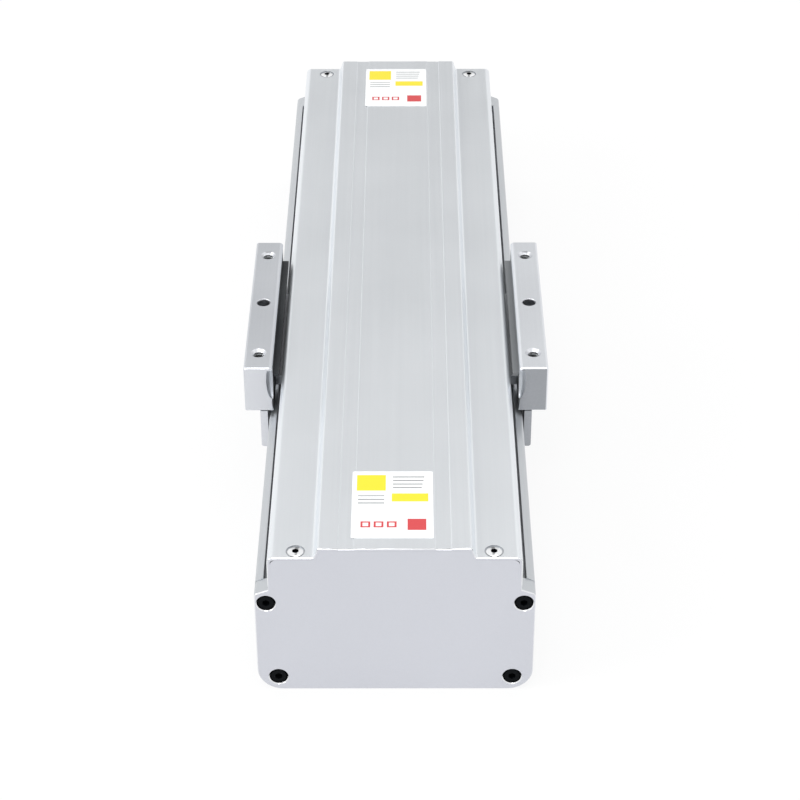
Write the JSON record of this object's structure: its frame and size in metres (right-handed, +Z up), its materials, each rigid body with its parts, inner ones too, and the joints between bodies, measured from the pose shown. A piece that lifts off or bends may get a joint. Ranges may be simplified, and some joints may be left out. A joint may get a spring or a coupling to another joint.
{
  "type": "ball screw linear module",
  "caption": "Semi-enclosed ball screw linear module: aluminium body with fixed top cover, carriage on two side wings, closed idle end and motor end plate.",
  "frame": {"origin": "middle of the footprint on the underside of the body", "axes": "+Z up out of the carriage's mounting faces, +Y along the screw towards the motor end, +X across"},
  "size_m": [0.1428, 0.464, 0.08],
  "materials": {
    "anodised_aluminium": "bead-blasted, clear anodised",
    "bearing_steel": "ground",
    "black_oxide_steel": "black oxide",
    "stainless_steel": "bright",
    "black_rubber": "matte",
    "orange_polyurethane": "matte"
  },
  "bodies": {
    "base": {"base_extrusion": "anodised_aluminium", "top_cover": "anodised_aluminium", "idle_end_cap": "anodised_aluminium", "motor_plate": "anodised_aluminium", "idle_bearing_housing": "anodised_aluminium", "drive_bearing_housing": "anodised_aluminium", "drive_bearing_cover": "anodised_aluminium", "guide_rail_left": "bearing_steel", "guide_rail_right": "bearing_steel", "idle_bearing_outer_ring": "bearing_steel", "drive_bearing_outer_ring_first": "bearing_steel", "drive_bearing_outer_ring_second": "bearing_steel", "idle_cap_screw_upper_left": "black_oxide_steel", "idle_cap_screw_upper_right": "black_oxide_steel", "idle_cap_screw_lower_left": "black_oxide_steel", "idle_cap_screw_lower_right": "black_oxide_steel", "motor_plate_screw_upper_left": "black_oxide_steel", "motor_plate_screw_upper_right": "black_oxide_steel", "motor_plate_screw_lower_left": "black_oxide_steel", "motor_plate_screw_lower_right": "black_oxide_steel", "retaining_ring": "black_oxide_steel", "cover_screw_idle_left": "stainless_steel", "cover_screw_idle_right": "stainless_steel", "cover_screw_motor_left": "stainless_steel", "cover_screw_motor_right": "stainless_steel", "idle_bumper": "black_rubber", "drive_bumper": "black_rubber"},
    "carriage": {"carriage": "anodised_aluminium", "ball_nut": "bearing_steel", "nut_bracket": "anodised_aluminium", "runner_block_idle_left": "bearing_steel", "runner_block_idle_right": "bearing_steel", "runner_block_motor_left": "bearing_steel", "runner_block_motor_right": "bearing_steel", "sensor_flag_left": "anodised_aluminium", "sensor_flag_right": "anodised_aluminium"},
    "screw": {"ball_screw": "bearing_steel", "idle_bearing_inner_ring": "bearing_steel", "drive_bearing_inner_ring_first": "bearing_steel", "drive_bearing_inner_ring_second": "bearing_steel", "bearing_lock_nut": "black_oxide_steel", "coupling_hub_screw_side": "anodised_aluminium", "coupling_spider": "orange_polyurethane", "coupling_hub_motor_side": "anodised_aluminium"}
  },
  "joints": [
    {"name": "carriage_slide", "type": "slide", "parent": "base", "child": "carriage", "axis": [0, 1, 0], "range_m": [-0.1085, 0.1415]},
    {"name": "screw_turn", "type": "hinge", "parent": "base", "child": "screw", "pos_m": [0, 0, 0.032], "axis": [0, 1, 0], "range_deg": [-5110, 3920]}
  ],
  "couplings": [
    {"joint": "screw_turn", "follows": "carriage_slide", "rad_per_m": -628.32}
  ]
}
